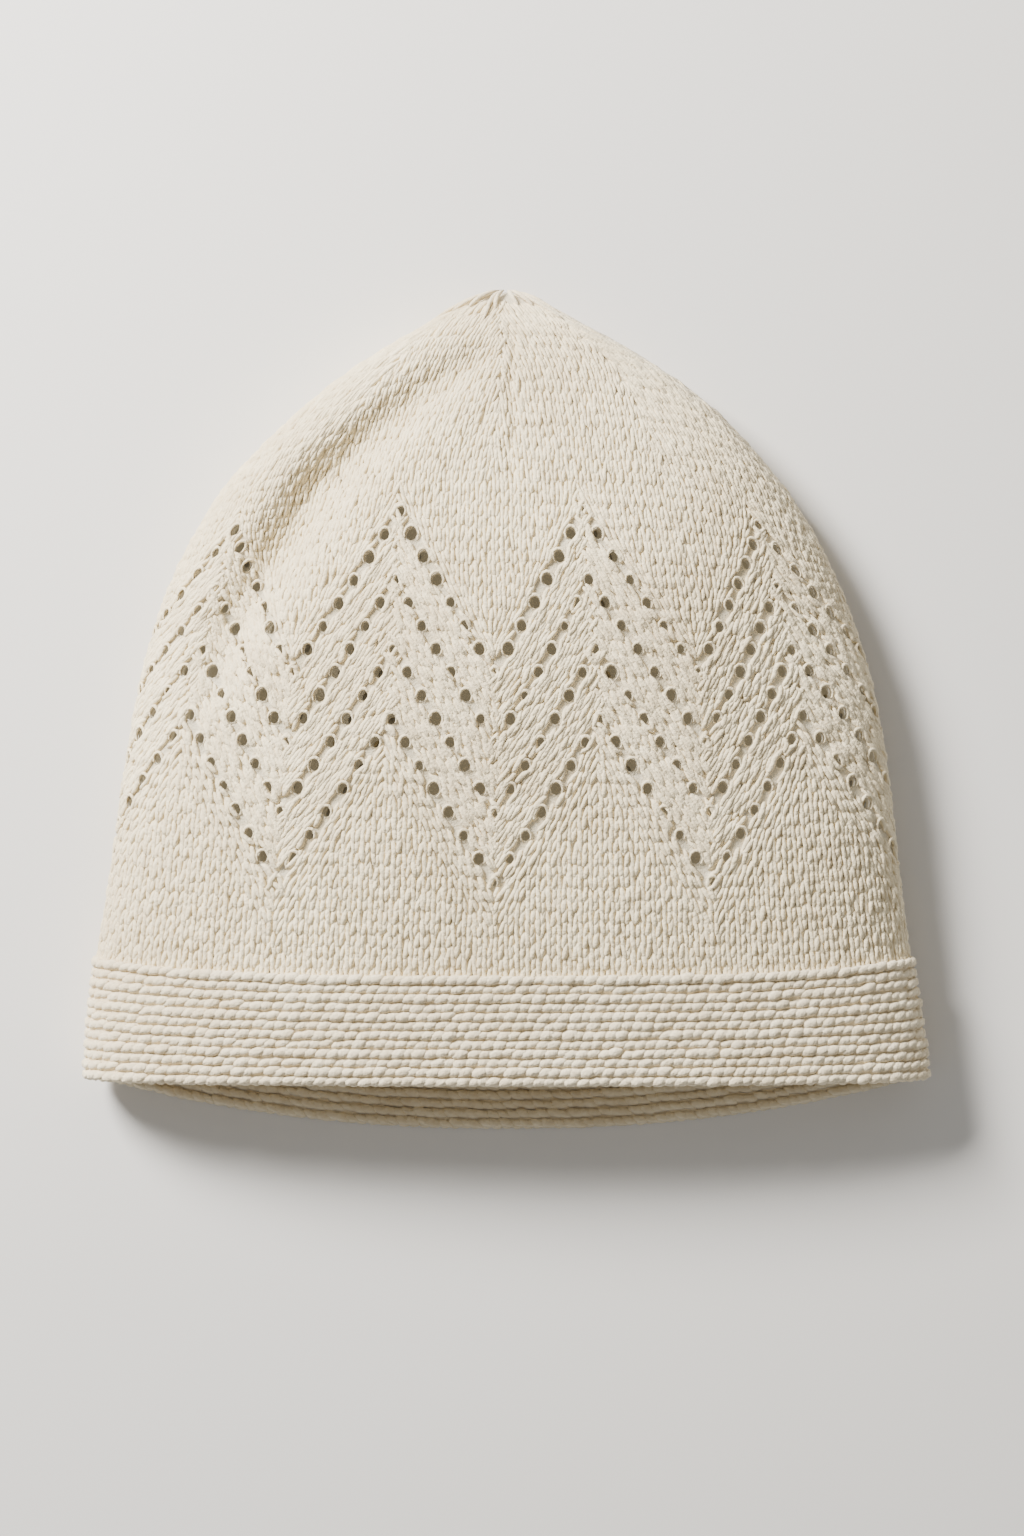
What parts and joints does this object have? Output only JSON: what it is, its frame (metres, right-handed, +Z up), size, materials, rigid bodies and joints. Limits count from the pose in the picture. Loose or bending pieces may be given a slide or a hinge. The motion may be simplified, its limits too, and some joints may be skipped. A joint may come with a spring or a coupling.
{
  "type": "kufi cap",
  "caption": "Knitted cotton kufi cap lying on its back: pointed, softly domed body with zigzag lines of eyelets, above a ridged brim band, hollow and open at the mouth.",
  "frame": {"origin": "middle of the cap's footprint, on the surface that it lies on", "axes": "+Z up, out of the surface that the cap lies on; +Y from the open mouth to the pointed tip; +X to the right in a view from above with the tip at the top"},
  "size_m": [0.2212, 0.2198, 0.0347],
  "materials": {
    "body_knit": "cream cotton yarn, plain knitted, matt with a soft short fuzz",
    "band_knit": "cream cotton yarn, knitted in rope-like purl ridges, matt with a soft short fuzz"
  },
  "bodies": {
    "root": {"knitted_body": "body_knit", "brim_band": "band_knit"}
  },
  "joints": []
}
